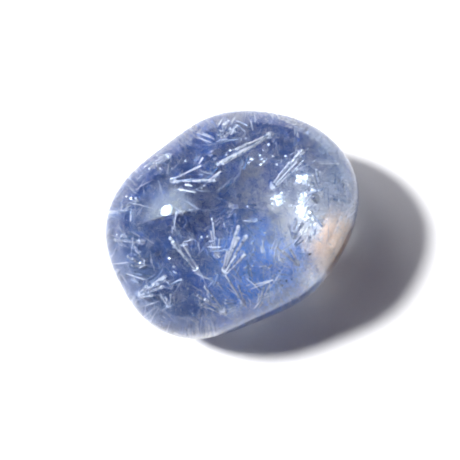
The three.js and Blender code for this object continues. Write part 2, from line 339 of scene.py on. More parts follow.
class StageSettings(PropertyGroup):
    """The camera, the lights and the floor."""

    elevation: Angle(
        name="Camera elevation", default=math.radians(75), description="Height of the camera over the floor")
    turn: Angle(
        name="Turn", default=math.radians(31.7),
        description="How far the stone's length is turned from the picture's width")
    lens: FloatProperty(name="Lens", default=100.0, description="Focal length in millimetres")
    picture_width: Length(
        name="Picture width", default=29.0 * MM, description="Width of the view at the stone")
    aim: FloatVectorProperty(
        name="Aim", default=(-0.12 * MM, -0.54 * MM), size=2, unit="LENGTH",
        description="Picture centre, right of and above the stone's middle")
    sun_elevation: Angle(
        name="Sun elevation", default=math.radians(46), description="Height of the key light")
    sun_azimuth: Angle(
        name="Sun azimuth", default=math.radians(170),
        description="Where the key light comes from, from the picture's right")
    sun_angle: Angle(
        name="Sun angle", default=math.radians(10.5),
        description="Width of the key light, which softens the shadow's edge")
    sun_strength: FloatProperty(name="Sun strength", default=7.0, description="Of the key light")
    inside_angle: Angle(
        name="Inside angle", default=math.radians(7),
        description="Width of the lamps on the dumortierite, seen from the stone")
    inside_power: FloatProperty(
        name="Inside power", default=0.48, unit="POWER",
        description="Of the lamp that lights the dumortierite through the polish")
    glint_power: FloatProperty(
        name="Glint power", default=2.9, unit="POWER",
        description="Of the lamp on the grains and the stained fibres")
    inside_reach: Length(name="Inside reach", default=0.15, description="From those two lamps to the stone")
    lamp: FloatVectorProperty(
        name="Lamp", default=(-0.544, 0.252, 0.8), size=3,
        description="Where the lit spot of the diffuser is: right, ahead and up")
    lamp_glow: FloatProperty(name="Lamp glow", default=60.0, description="Brightness of the lit spot")
    near_glow: FloatProperty(name="Near glow", default=6.0, description="Of the diffuser round the lit spot")
    far_glow: FloatProperty(name="Far glow", default=3.0, description="Of the rest of the diffuser")
    glow_tint: Colour(name="Glow tint", default=(0.8, 0.93, 1.0), description="Colour of the diffuser")
    sky: Colour(name="Sky", default=(0.094, 0.086, 0.112), description="Light from the room around")
    floor: Colour(name="Floor", default=(0.9, 0.9, 0.91), description="Colour of the floor")


def material_of(name):
    """An empty node material."""
    material = bpy.data.materials.new(name)
    material.use_nodes = True
    material.node_tree.nodes.clear()
    return material


def add_node(tree, kind, sockets=(), **settings):
    """A new node, with its settings, and with a fixed value or a link to another node for its sockets."""
    node = tree.nodes.new(kind)
    for name, value in settings.items():
        setattr(node, name, value)
    for name, value in dict(sockets).items():
        if isinstance(value, bpy.types.NodeSocket):
            tree.links.new(value, node.inputs[name])
        else:
            node.inputs[name].default_value = value
    return node


def surface_of(material, shader, **others):
    """Makes a shader the surface of a material, and links its other outputs."""
    add_node(material.node_tree, "ShaderNodeOutputMaterial", {"Surface": shader.outputs[0], **others})
    return material


def mesh_piece(name, points, faces, smooth=True, face_size=3):
    """A mesh object at the origin, from whole arrays of points (metres) and equal-sided faces."""
    mesh = bpy.data.meshes.new(name)
    mesh.vertices.add(len(points))
    mesh.vertices.foreach_set("co", np.ascontiguousarray(points, np.float32).ravel())
    mesh.loops.add(faces.size)
    mesh.loops.foreach_set("vertex_index", np.ascontiguousarray(faces, np.int32).ravel())
    mesh.polygons.add(len(faces))
    mesh.polygons.foreach_set("loop_start", np.arange(0, faces.size, face_size, dtype=np.int32))
    mesh.polygons.foreach_set("use_smooth", np.full(len(faces), smooth))
    mesh.update(calc_edges=True)
    mesh.validate()
    piece = bpy.data.objects.new(name, mesh)
    bpy.context.scene.collection.objects.link(piece)
    return piece


def unit(vectors):
    """Vectors of length one."""
    return vectors / np.linalg.norm(vectors, axis=-1, keepdims=True)


def set_axes(item, x_axis, y_axis, z_axis):
    """Turns an object so that its axes point along three unit vectors."""
    item.rotation_euler = Matrix(np.stack([x_axis, y_axis, z_axis], axis=1).tolist()).to_euler()


def outline_radius(angle, pebble):
    """Edge of the plan outline: a squared ellipse, plus a cosine for each set of lobes."""
    length_term = np.abs(np.cos(angle) / pebble.half_length) ** pebble.squareness
    width_term = np.abs(np.sin(angle) / pebble.half_width) ** pebble.squareness
    radius = (length_term + width_term) ** (-1 / pebble.squareness)
    for count, height, at in zip((3, 5), pebble.lobes, pebble.lobe_angles):
        radius = radius + height * np.cos(count * (angle - at))
    return radius


def outline_middle(pebble):
    """Middle of the outline's box, from the outline's own centre."""
    angle = np.linspace(0, 2 * math.pi, 720, endpoint=False)
    radius = outline_radius(angle, pebble)
    edge = np.stack([radius * np.cos(angle), radius * np.sin(angle)])
    return (edge.max(axis=1) + edge.min(axis=1)) / 2


def keel_depth(pebble):
    """Depth of the full underside, which the flat base cuts short."""
    rest = 1 - pebble.base_share ** pebble.shoulder
    return GIRDLE_HEIGHT / rest ** (1 / pebble.under_roundness)


def fullness(points, pebble, cover):
    """Share of the way from the stone's middle to its skin, moved in by a cover: 1 on it, over 1 outside.

    It is the outline share to the shoulder power, plus the height share to the roundness power.
    """
    middle = outline_middle(pebble)
    x, y = points[..., 0] + middle[0], points[..., 1] + middle[1]
    rise = points[..., 2] - GIRDLE_HEIGHT
    share = np.hypot(x, y) / (outline_radius(np.arctan2(y, x), pebble) - cover)
    above = np.clip(rise, 0, None) / (pebble.crown - cover)
    below = np.clip(-rise, 0, None) / (keel_depth(pebble) - cover)
    worn = np.where(points[..., 2] < cover, 1.0, 0.0)
    rise_share = above ** pebble.crown_roundness + below ** pebble.under_roundness
    return share ** pebble.shoulder + rise_share + worn


def pebble_surface(pebble):
    """The stone's skin, as a grid of rings from the top pole to the middle of the base.

    Over the profile angle, the outline shrinks with a power of the cosine and the height grows with a
    power of the sine. The underside is cut at the floor by a soft maximum, so the flat has no hard rim.
    """
    turn = np.linspace(0, 2 * math.pi, pebble.around, endpoint=False)[None, :]
    lean = np.linspace(math.pi / 2, -math.pi / 2, pebble.rings + 1)[1:-1, None]
    share = np.cos(lean) ** (2 / pebble.shoulder)
    crown = pebble.crown * np.abs(np.sin(lean)) ** (2 / pebble.crown_roundness)
    keel = keel_depth(pebble) * np.abs(np.sin(lean)) ** (2 / pebble.under_roundness)
    height = GIRDLE_HEIGHT + np.where(lean > 0, crown, -keel)
    height = (height + np.sqrt(height ** 2 + BASE_SOFTNESS ** 2)) / 2
    middle = outline_middle(pebble)
    radius = share * outline_radius(turn, pebble)
    x = radius * np.cos(turn) - middle[0]
    y = radius * np.sin(turn) - middle[1]
    z = np.broadcast_to(height, x.shape)
    grid = np.stack([x, y, z], axis=-1).reshape(-1, 3)
    top = [-middle[0], -middle[1], GIRDLE_HEIGHT + pebble.crown]
    base = [-middle[0], -middle[1], 0.0]
    return np.vstack([grid, top, base])


def pebble_faces(around, rings):
    """Quads of the grid as triangles, and a fan at each end."""
    step = np.arange(around)
    after = (step + 1) % around
    row = np.arange(rings - 1)[:, None] * around
    a, b = row + step, row + after
    c, d = b + around, a + around
    quads = np.stack([a, d, c, a, c, b], axis=-1).reshape(-1, 3)
    last = (rings - 1) * around
    top, base = rings * around, rings * around + 1
    crown = np.stack([np.full(around, top), step, after], axis=-1)
    under = np.stack([np.full(around, base), last + after, last + step], axis=-1)
    return np.vstack([quads, crown, under])


def quartz_material(pebble):
    """Clear quartz: plain transmission with quartz's refractive index, and a faint blue absorption."""
    material = material_of("clear_quartz")
    tree = material.node_tree
    shader = add_node(tree, "ShaderNodeBsdfPrincipled", {
        "Base Color": (1, 1, 1, 1),
        "Roughness": pebble.roughness,
        "IOR": pebble.ior,
        "Transmission Weight": 1,
    })
    volume = add_node(tree, "ShaderNodeVolumeAbsorption", {
        "Color": (*pebble.haze, 1),
        "Density": pebble.haze_density,
    })
    return surface_of(material, shader, Volume=volume.outputs[0])


def shaded_material(name, roughness):
    """Dumortierite that takes the shade painted on each fibre, with a silky gloss. It is made once."""
    material = bpy.data.materials.get(name)
    if material:
        return material
    material = material_of(name)
    tree = material.node_tree
    shade = add_node(tree, "ShaderNodeAttribute", attribute_name="shade")
    shader = add_node(tree, "ShaderNodeBsdfPrincipled", {
        "Base Color": shade.outputs["Color"],
        "Roughness": roughness,
    })
    return surface_of(material, shader)


def main_needle_material(needles):
    """The main needles: pale blue streaked with painted reflection, less of it towards one end of the stone.
    """
    material = material_of("dumortierite_needles")
    tree = material.node_tree
    place = add_node(tree, "ShaderNodeTexCoord").outputs["Object"]
    # Painted reflection: noise streaks from pale blue to the near-white of painted light
    streaks = add_node(tree, "ShaderNodeTexNoise", {
        "Vector": place,
        "Scale": STREAKS_PER_METRE,
        "Detail": STREAK_DETAIL,
    })
    ramp = add_node(tree, "ShaderNodeValToRGB", {"Fac": streaks.outputs["Fac"]})
    for stop, edge, colour in zip(ramp.color_ramp.elements, STREAK_EDGES, (needles.pale, needles.painted_light)):
        stop.position = edge
        stop.color = (*colour, 1)
    # Less of the painted reflection towards one end of the stone
    apart = add_node(tree, "ShaderNodeSeparateXYZ", {0: place})
    along = add_node(tree, "ShaderNodeMapRange", zip(SPAN, (apart.outputs["X"], *PAINTED_LIGHT_FADE, LEAST_PAINTED_LIGHT, 1)))
    faded_light = add_node(tree, "ShaderNodeMix", {
        "Factor": along.outputs["Result"],
        "A": (*needles.pale, 1),
        "B": ramp.outputs["Color"],
    }, data_type="RGBA")
    shader = add_node(tree, "ShaderNodeBsdfPrincipled", {
        "Base Color": faded_light.outputs["Result"],
        **NEEDLE_GLOSS,
    })
    return surface_of(material, shader)


def beside(along):
    """Two directions at right angles to each given one, and to each other."""
    helper = np.where(np.abs(along[:, 2:3]) < 0.9, [[0.0, 0.0, 1.0]], [[1.0, 0.0, 0.0]])
    side = unit(np.cross(along, helper))
    return side, np.cross(along, side)


def repeated(points, sides):
    """Points and faces of many like shapes, from each one's points and the faces that all of them share."""
    faces = sides[None] + (np.arange(len(points)) * points.shape[1])[:, None, None]
    return points.reshape(-1, 3), faces.reshape(-1, 3)


def slivers(starts, ends, widths):
    """Thin fibres of four faces: a long tetrahedron, with points at the two ends and two by the middle.

    The fourth point is 0.9 of the thickness across from the line and 0.4 away from the third.
    """
    side, other = beside(unit(ends - starts))
    middle = (starts + ends) / 2
    one = middle + side * widths[:, None]
    two = middle + (other * 0.9 - side * 0.4) * widths[:, None]
    return repeated(np.stack([starts, ends, one, two], axis=1),
                    np.array([[0, 2, 1], [0, 1, 3], [0, 3, 2], [1, 2, 3]]))


def prisms(starts, ends, widths):
    """Blunt six-sided needles: two rings of six points, the first two thirds as wide, with flat ends."""
    side, other = beside(unit(ends - starts))
    step = np.arange(6)
    after = (step + 1) % 6
    turn = step * math.pi / 3
    aside = side[:, None] * np.cos(turn)[None, :, None] + other[:, None] * np.sin(turn)[None, :, None]
    aside = aside * (widths / 2)[:, None, None]
    points = np.concatenate([starts[:, None] + aside * 2 / 3, ends[:, None] + aside], axis=1)
    walls = np.concatenate([np.stack([step, after, after + 6], 1), np.stack([step, after + 6, step + 6], 1)])
    fan = np.stack([np.zeros(4, int), np.arange(1, 5), np.arange(2, 6)], 1)
    return repeated(points, np.concatenate([walls, fan[:, ::-1], fan + 6]))


def round_grains(centres, widths):
    """Small grains of 32 faces: an octahedron whose edges are halved and pushed out to the sphere."""
    x, y, z = np.eye(3)
    corners = np.array([x, y, z, -x, -y, -z])
    sides = np.array([[0, 1, 2], [1, 3, 2], [3, 4, 2], [4, 0, 2], [1, 0, 5], [3, 1, 5], [4, 3, 5], [0, 4, 5]])
    edges, at = np.unique(np.sort(sides[:, [[0, 1], [1, 2], [2, 0]]].reshape(-1, 2), axis=1), axis=0,
                          return_inverse=True)
    ways = np.vstack([corners, unit(corners[edges].mean(axis=1))])
    first, second, third = (at.reshape(-1, 3) + len(corners)).T
    a, b, c = sides.T
    quarters = [[a, first, third], [first, b, second], [third, second, c], [first, second, third]]
    return repeated(centres[:, None] + ways[None] * (widths / 2)[:, None, None],
                    np.vstack([np.stack(quarter, axis=1) for quarter in quarters]))


def joined(shapes):
    """Several shapes as one, each a pair of points and faces."""
    offsets = np.cumsum([0] + [len(points) for points, faces in shapes[:-1]])
    faces = [faces + offset for (points, faces), offset in zip(shapes, offsets)]
    return np.vstack([points for points, faces in shapes]), np.vstack(faces)


def spray_rods(node):
    """A spray's root and the ends of its needles, found in its solid.

    The root is the middle of the points nearest the girdle. The ends are the clusters of points that lie
    beyond the stem.
    """
    mesh = bpy.data.objects[node].data
    points = np.empty(len(mesh.vertices) * 3, np.float32)
    mesh.vertices.foreach_get("co", points)
    points = np.unique(points.reshape(-1, 3).round(7), axis=0).astype(float)
    height = np.abs(points[:, 2] - GIRDLE_HEIGHT)
    root = points[height < height.min() + ROOT_BAND].mean(axis=0)
    far = points[np.linalg.norm(points - root, axis=1) > STEM_REACH]
    ends = []
    while len(far):
        near = np.linalg.norm(far - far[0], axis=1) < END_SPREAD
        if near.sum() >= END_POINTS:
            ends.append(far[near].mean(axis=0))
        far = far[~near]
    return root, np.array(ends)


def trimmed(starts, ends, pebble, cover):
    """Ends pulled back under the skin by halving, and which of the lines start under it."""
    low, high = np.zeros(len(starts)), np.ones(len(starts))
    inside = fullness(ends, pebble, cover) < 1
    for _ in range(HALVINGS):
        middle = (low + high) / 2
        fits = fullness(starts + (ends - starts) * middle[:, None], pebble, cover) < 1
        low, high = np.where(fits, middle, low), np.where(fits, high, middle)
    share = np.where(inside, 1.0, low)
    keep = (fullness(starts, pebble, cover) < 1) & (share > LEAST_SHARE)
    return starts + (ends - starts) * share[:, None], keep


def places_inside(count, pebble, cover):
    """Random places spread evenly through the stone, under a cover."""
    half = np.array([pebble.half_length, pebble.half_width, GIRDLE_HEIGHT + pebble.crown])
    places = DRAW.uniform(*GRAIN_BOX, (count * 4, 3)) * half
    return places[fullness(places, pebble, cover) < 1][:count]


def share_in(points, middle, size):
    """1 at the middle of an oval place, 0 at its edge and beyond."""
    return np.clip(1 - np.linalg.norm((points - middle) / size, axis=1), 0, 1)


def tufts_of(root, tips, pebble, needles):
    """Places, reaches, axes and tints of a spray's tufts. They thin out upwards and in the clear end."""
    count = needles.tufts
    pick = DRAW.integers(len(tips), size=count)
    places = root + (tips[pick] - root) * DRAW.uniform(0, 1, (count, 1)) ** TUFT_CROWDING
    places = places + DRAW.normal(0, needles.tuft_stray, (count, 3))
    ceiling = needles.tuft_ceiling + DRAW.normal(0, CEILING_RAGGEDNESS, count)
    clear = 1 - share_in(places, CLEAR_END, CLEAR_SIZE) ** CLEARING
    keep = (places[:, 2] < ceiling) & (DRAW.uniform(0, 1, count) < np.clip(clear, FEWEST_TUFTS, 1))
    keep = keep & (fullness(places, pebble, needles.fibre_cover) < 1)
    reach = needles.tuft_reach * DRAW.beta(*REACH_SPREAD, count)
    axis = unit(DRAW.normal(0, 1, places.shape))
    tint = np.clip(DRAW.normal(*TUFT_TINT, count), 0, 1)
    return places[keep], reach[keep], axis[keep], tint[keep]


def skin_tufts(pebble, needles):
    """Places, reaches, axes and tints of the tufts close under the skin at the end with painted amber light.
    """
    count = needles.skin_tufts
    turn = np.where(DRAW.uniform(0, 1, count) < AMBER_SHARE, DRAW.uniform(*AMBER_TURN, count),
                    DRAW.uniform(*SKIN_TURN, count))
    height = DRAW.uniform(*SKIN_HEIGHT, count)
    starts = np.stack([np.zeros(count), np.zeros(count), height], axis=1)
    outwards = np.stack([np.cos(turn), np.sin(turn), np.zeros(count)], axis=1)
    places = trimmed(starts, starts + outwards * 2 * pebble.half_length, pebble,
                     needles.fibre_cover + SKIN_COVER)[0]
    places = places - (places - starts) * DRAW.uniform(*SKIN_DEPTH, (count, 1))
    reach = needles.tuft_reach * DRAW.uniform(*SKIN_REACH, count)
    axis = unit(DRAW.normal(0, 1, places.shape))
    return places, reach, axis, np.full(count, 1.0)


def tuft_fibres(tufts, needles):
    """Starts, ends and tints of the tufts' fibres, which fan out round each tuft's axis."""
    places, reach, axis, tint = (np.repeat(part, needles.tuft_fibres, axis=0) for part in tufts)
    direction = unit(axis * TUFT_FAN + DRAW.normal(0, TUFT_FAN, places.shape))
    ends = places + direction * (reach * DRAW.uniform(*LARGER_SIZES, len(places)))[:, None]
    return places, ends, tint


def fray_fibres(root, tips, needles):
    """Starts and ends of the fibres that run along a spray's needles and leave them at a low angle."""
    pick = DRAW.integers(len(tips), size=needles.frays * len(tips))
    axis = tips[pick] - root
    length = np.linalg.norm(axis, axis=1, keepdims=True)
    low = DRAW.uniform(*FRAY_START, (len(pick), 1))
    high = np.minimum(low + DRAW.uniform(*FRAY_LENGTH, (len(pick), 1)), 1)
    stray = DRAW.normal(0, FRAY_STRAY, (len(pick), 3)) * length
    return root + axis * low + FRAY_LOW_STRAY * stray * low, root + axis * high + stray * high


def short_needles(root, tips, pebble, needles):
    """Starts and ends of the short needles round a spray: bundles that lean outwards and apart."""
    share = fullness(np.array([[root[0], root[1], GIRDLE_HEIGHT]]), pebble, 0)[0]
    count = FEWEST_BUNDLES + round(needles.bundles * share ** 2)
    pick = DRAW.integers(len(tips), size=count)
    axis = tips[pick] - root
    start = root + axis * DRAW.uniform(*BUNDLE_START, (count, 1)) + DRAW.normal(0, BUNDLE_STRAY, (count, 3))
    direction = unit(unit(axis) * BUNDLE_LEAN[0] + DRAW.normal(0, BUNDLE_LEAN[1], (count, 3)))
    start, direction = (np.repeat(part, needles.bundle_needles, axis=0) for part in (start, direction))
    start = start + DRAW.normal(0, BUNDLE_SPREAD, start.shape)
    direction = unit(direction + DRAW.normal(0, BUNDLE_SPLAY, start.shape))
    length = needles.short_length * DRAW.uniform(*SIZES, (len(start), 1))
    return start, start + direction * length


def whiskers(root, tips, needles):
    """Starts and ends of the thin needles that stand round a spray's own and lean from them."""
    count = needles.whiskers
    axis = tips[DRAW.integers(len(tips), size=count)] - root
    start = root + axis * DRAW.uniform(*WHISKER_START, (count, 1)) + DRAW.normal(0, WHISKER_STRAY, (count, 3))
    direction = unit(unit(axis) + DRAW.normal(0, WHISKER_LEAN, (count, 3)))
    return start, start + direction * needles.whisker_length * DRAW.uniform(*SIZES, (count, 1))


def blend(one, other, share):
    """Colours between two, by the share of the second."""
    return np.array(one) * (1 - share) + np.array(other) * share


def spread(colours, count):
    """Colours repeated until there is one for each of so many points."""
    return np.repeat(colours, count // len(colours), axis=0)


def shades(points, tint, pebble, needles):
    """A colour for each fibre: from deep blue to pale with its tint, with painted light and painted shade.

    The pale share is the tint, raised near the skin and at the pale end, where it is painted light, and
    lowered in the bluest place and the dark place. The bluest place's brighter blue paints light that the
    dome focuses, the dark place's darker blue paints shade, and painted reflection takes the place of pale
    blue towards the clear end.
    """
    rim = np.clip((fullness(points, pebble, 0) - RIM_FROM) / (1 - RIM_FROM), 0, 1)
    # Painted light: fibres paler at the end that faces the key light
    end = np.interp(points[:, 0], LIT_END_REACH, (1, 0))
    uneven = DRAW.normal(0, UNEVENNESS, (len(points), 1))
    mix = np.clip((tint + RIM_PALE * rim + LIT_END_PALE * end)[:, None] + uneven, 0, 1)
    # Painted light: brighter, bluer fibres where the dome focuses light
    heart = np.clip(LIT_BLUE_GAIN * share_in(points, LIT_BLUE_PLACE, LIT_BLUE_SIZE)[:, None], 0, 1)
    mix = mix * (1 - LIT_BLUE_PURITY * heart)
    blue = blend(needles.deep, needles.heart, heart)
    # Painted shade: darker fibres in the dark place
    shadow = np.clip(PAINTED_SHADE_GAIN * share_in(points, PAINTED_SHADE, PAINTED_SHADE_SIZE)[:, None], 0, 1)
    blue, mix = blue * (1 - PAINTED_SHADE_DEPTH * shadow), mix * (1 - shadow)
    # Painted light: the near-white of painted reflection towards the clear end, by the rim and at the pale
    # end
    level = np.column_stack([points[:, :2], np.full(len(points), CLEAR_END[2])])
    clear = CLEAR_END_LIGHT_GAIN * share_in(level, CLEAR_END, CLEAR_SIZE)[:, None]
    clear = np.clip(clear + (RIM_LIGHT * rim + LIT_END_LIGHT * end)[:, None], 0, MOST_LIGHT)
    light = blend(needles.pale, needles.painted_light, clear)
    return blend(blue, light, np.clip(mix + clear, 0, 1))


def skin_light_shades(points, needles):
    """Colours under the skin: painted amber light in one stretch, and pale with painted reflection beside it.
    """
    turn = np.arctan2(points[:, 1], points[:, 0])
    middle, half = (AMBER_TURN[0] + AMBER_TURN[1]) / 2, (AMBER_TURN[1] - AMBER_TURN[0]) / 2
    uneven = DRAW.uniform(*AMBER_SPREAD, (len(points), 1))
    # Painted light: amber in one stretch, for the warm light that the stone focuses there
    amber_glow = np.clip(AMBER_FADE - np.abs(turn - middle) / half, 0, 1)[:, None] * uneven
    # Beside it, pale blue with a share of painted reflection
    plain = PLAIN_LIGHT * np.array(needles.painted_light) + PLAIN_PALE * np.array(needles.pale)
    return blend(plain, needles.amber, amber_glow)


def fine_fibres(root, tips, pebble, needles):
    """One spray's frays and tufts, as one shape and a colour for each fibre."""
    frays = fray_fibres(root, tips, needles)
    starts, ends, tint = tuft_fibres(tufts_of(root, tips, pebble, needles), needles)
    starts, ends = np.vstack([frays[0], starts]), np.vstack([frays[1], ends])
    tint = np.concatenate([DRAW.uniform(*FRAY_TINT, len(frays[0])), tint])
    ends, keep = trimmed(starts, ends, pebble, needles.fibre_cover)
    starts, ends, tint = starts[keep], ends[keep], tint[keep]
    widths = needles.fibre_width * DRAW.uniform(*FIBRE_WIDTHS, len(starts))
    return slivers(starts, ends, widths), shades(starts, tint, pebble, needles)


def coarse_needles(root, tips, pebble, needles):
    """One spray's short needles and whiskers, as one shape and a colour for each point."""
    kinds = (
        (prisms, short_needles(root, tips, pebble, needles), needles.short_width),
        (slivers, whiskers(root, tips, needles), needles.whisker_width),
    )
    shapes, colours = [], []
    for kind, (starts, ends), thickness in kinds:
        ends, keep = trimmed(starts, ends, pebble, needles.short_cover)
        starts, ends = starts[keep], ends[keep]
        points, faces = kind(starts, ends, thickness * DRAW.uniform(*SIZES, len(starts)))
        shapes.append((points, faces))
        # Each needle takes a random share of painted reflection, less of it towards one end
        light_share = DRAW.uniform(0, 1, (len(starts), 1))
        light_share = light_share * np.interp(starts[:, :1], PAINTED_LIGHT_FADE, (LEAST_PAINTED_LIGHT, 1))
        colours.append(spread(blend(needles.pale, needles.painted_light, light_share), len(points)))
    return joined(shapes), np.vstack(colours)


def all_grains(pebble, needles):
    """Centres, widths and brightnesses of the scattered grains and of the clusters; the bright ones paint
    glints.
    """
    centres = [places_inside(needles.grains, pebble, needles.short_cover)]
    widths = [needles.grain_size * DRAW.uniform(*LARGER_SIZES, len(centres[0]))]
    bright = [GRAIN_GLOW * widths[0] / needles.grain_size]
    for middle, scatter, count, width, brightness in CLUSTERS:
        centres.append((np.array(middle) + DRAW.normal(0, scatter, (count, 3))) * MM)
        widths.append(width * MM * DRAW.uniform(*SIZES, count))
        bright.append(np.full(count, brightness))
    return np.vstack(centres), np.concatenate(widths), np.concatenate(bright)


def paint(piece, colours):
    """Gives each fibre's points its colour, as the attribute that its material reads."""
    attribute = piece.data.attributes.new("shade", "FLOAT_COLOR", "POINT")
    colours = spread(np.hstack([colours, np.ones((len(colours), 1))]), len(piece.data.vertices))
    attribute.data.foreach_set("color", colours.astype(np.float32).ravel())


def finish(name, shape, colours, look, light="dumortierite", smooth=False):
    """Makes a painted piece of dumortierite that one of the two inside lamps lights."""
    piece = mesh_piece(name, *shape, smooth)
    paint(piece, colours)
    piece.data.materials.append(shaded_material(*look))
    bpy.data.collections[light].objects.link(piece)
    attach(piece, "root")


class PEBBLE_OT_quartz(Operator):
    """Makes the clear stone, which stands for the two halves"""

    bl_idname = "pebble.quartz"
    bl_label = "Clear quartz"

    def execute(self, context):
        pebble = context.scene.pebble_settings
        faces = pebble_faces(pebble.around, pebble.rings - 1)
        stone = mesh_piece("quartz_pebble", pebble_surface(pebble), faces)
        stone.data.materials.append(quartz_material(pebble))
        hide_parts(*HALVES)
        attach(stone, "root")
        return {"FINISHED"}


class PEBBLE_OT_main_needles(Operator):
    """Finishes the main needles of the sprays, which are the model's own solids"""

    bl_idname = "pebble.main_needles"
    bl_label = "Main needles"

    def execute(self, context):
        streaked = main_needle_material(context.scene.needle_settings)
        for node in SPRAYS:
            spray = bpy.data.objects[node]
            spray.data.materials.clear()
            spray.data.materials.append(streaked)
            bpy.data.collections["dumortierite"].objects.link(spray)
        return {"FINISHED"}


class PEBBLE_OT_fine_needles(Operator):
    """Grows the fine fibres, the short needles and the whiskers on each spray"""

    bl_idname = "pebble.fine_needles"
    bl_label = "Fine needles"

    def execute(self, context):
        pebble, needles = context.scene.pebble_settings, context.scene.needle_settings
        for node in SPRAYS:
            root, tips = spray_rods(node)
            shape, colours = fine_fibres(root, tips, pebble, needles)
            finish(node.replace("spray", "fibres"), shape, colours, FIBRE_FINISH)
            shape, colours = coarse_needles(root, tips, pebble, needles)
            finish(node.replace("spray", "needles"), shape, colours, NEEDLE_FINISH)
        return {"FINISHED"}


class PEBBLE_OT_skin_fibres(Operator):
    """Makes the fibres under the skin at one end, which carry painted reflection and painted amber light"""

    bl_idname = "pebble.stained_fibres"
    bl_label = "Stained fibres"

    def execute(self, context):
        pebble, needles = context.scene.pebble_settings, context.scene.needle_settings
        starts, ends = tuft_fibres(skin_tufts(pebble, needles), needles)[:2]
        ends, keep = trimmed(starts, ends, pebble, needles.fibre_cover)
        starts, ends = starts[keep], ends[keep]
        widths = SKIN_FIBRE_STOUTNESS * needles.fibre_width * DRAW.uniform(*FIBRE_WIDTHS, len(starts))
        finish("fibres_under_skin", slivers(starts, ends, widths), skin_light_shades(starts, needles),
               FIBRE_FINISH, "glints")
        return {"FINISHED"}


class PEBBLE_OT_grains(Operator):
    """Makes the small dark grains, and the white ones that paint glints and focused light"""

    bl_idname = "pebble.grains"
    bl_label = "Grains"

    def execute(self, context):
        pebble, needles = context.scene.pebble_settings, context.scene.needle_settings
        centres, widths, bright = all_grains(pebble, needles)
        # White grains paint glints and focused light; the dark ones keep their own colour
        colours = np.clip(np.array(needles.painted_light) * bright[:, None], 0, 1)
        finish("grains", round_grains(centres, widths), colours, NEEDLE_FINISH, "glints", True)
        return {"FINISHED"}


def key_light(stage, towards):
    """The sun lamp that shines from a direction."""
    sun = bpy.data.lights.new("key_light", "SUN")
    sun.energy = stage.sun_strength
    sun.angle = stage.sun_angle
    lamp = bpy.data.objects.new("key_light", sun)
    bpy.context.scene.collection.objects.link(lamp)
    side = unit(np.cross(UP, towards))
    set_axes(lamp, side, np.cross(towards, side), towards)
    lamp.location = towards * KEY_DISTANCE
    lamp.visible_glossy = False


def inside_light(kind, power, stage, towards):
    """A lamp that lights and is shadowed by one kind of inclusion alone, from where the key light comes."""
    bulb = bpy.data.lights.new(kind + "_light", "POINT")
    bulb.energy = power
    bulb.shadow_soft_size = stage.inside_reach * math.tan(stage.inside_angle / 2)
    bulb.cycles.use_multiple_importance_sampling = False
    lamp = bpy.data.objects.new(kind + "_light", bulb)
    bpy.context.scene.collection.objects.link(lamp)
    lamp.location = towards * stage.inside_reach
    inclusions = bpy.data.collections.new(kind)
    lamp.light_linking.receiver_collection = inclusions
    lamp.light_linking.blocker_collection = inclusions


class Glow:
    """Nodes that give the brightness of the diffuser behind the stone, by the direction from the stone."""

    def __init__(self, tree, view):
        self.tree, self.view = tree, view

    def facing(self, direction, low, high, bottom, top):
        """How much the direction faces a given one, as a smooth step over its cosine."""
        cosine = add_node(self.tree, "ShaderNodeVectorMath", {0: self.view, 1: direction},
                          operation="DOT_PRODUCT").outputs["Value"]
        return add_node(self.tree, "ShaderNodeMapRange", zip(SPAN, (cosine, low, high, bottom, top)),
                        interpolation_type="SMOOTHSTEP").outputs["Result"]

    def both(self, operation, one, two):
        """One number with another, by an operation."""
        return add_node(self.tree, "ShaderNodeMath", {0: one, 1: two}, operation=operation).outputs[0]

    def cut(self, brightness, right, ahead):
        """The brightness, cut off at the diffuser's sharp upper edge and its soft side edge."""
        over = self.facing(unit(ahead - UPPER_TIP * UP), *UPPER_EDGE, 0, 1)
        aside = self.facing(unit(-right - SIDE_TURN * ahead), *SIDE_EDGE, 0, 1)
        return self.both("MULTIPLY", brightness, self.both("MULTIPLY", over, aside))


def sky_of(stage, right, ahead, lamp):
    """The room: dim, and lit a little by the diffuser."""
    world = bpy.data.worlds.new("sky")
    world.use_nodes = True
    tree = world.node_tree
    glow = Glow(tree, tree.nodes.new("ShaderNodeTexCoord").outputs["Generated"])
    panel = glow.cut(glow.facing(lamp, *FAR_SPAN, LEAST_GLOW, stage.far_glow), right, ahead)
    tint = add_node(tree, "ShaderNodeMix", {"Factor": 1, "A": (*stage.sky, 1), "B": panel},
                    data_type="RGBA", blend_type="ADD")
    tree.links.new(tint.outputs["Result"], tree.nodes["Background"].inputs["Color"])
    return world


def diffuser_material(stage, right, ahead, lamp, middle):
    """Light that is brightest in the spot towards the lamp and fades round it in three steps."""
    material = material_of("lit_diffuser")
    tree = material.node_tree
    place = add_node(tree, "ShaderNodeTexCoord").outputs["Object"]
    away = add_node(tree, "ShaderNodeVectorMath", {0: place, 1: middle}, operation="SUBTRACT").outputs[0]
    glow = Glow(tree, add_node(tree, "ShaderNodeVectorMath", {0: away}, operation="NORMALIZE").outputs[0])
    outer, inner = (math.cos(angle) for angle in SPOT_ANGLES)
    spot = glow.facing(lamp, outer, inner, 0, stage.lamp_glow)
    near = glow.both("ADD", glow.facing(lamp, *NEAR_SPAN, 0, stage.near_glow),
                     glow.facing(lamp, *TAIL_SPAN, 0, TAIL_GLOW))
    strength = glow.cut(glow.both("ADD", near, spot), right, ahead)
    return surface_of(material, add_node(tree, "ShaderNodeEmission", {
        "Color": (*stage.glow_tint, 1),
        "Strength": strength,
    }))


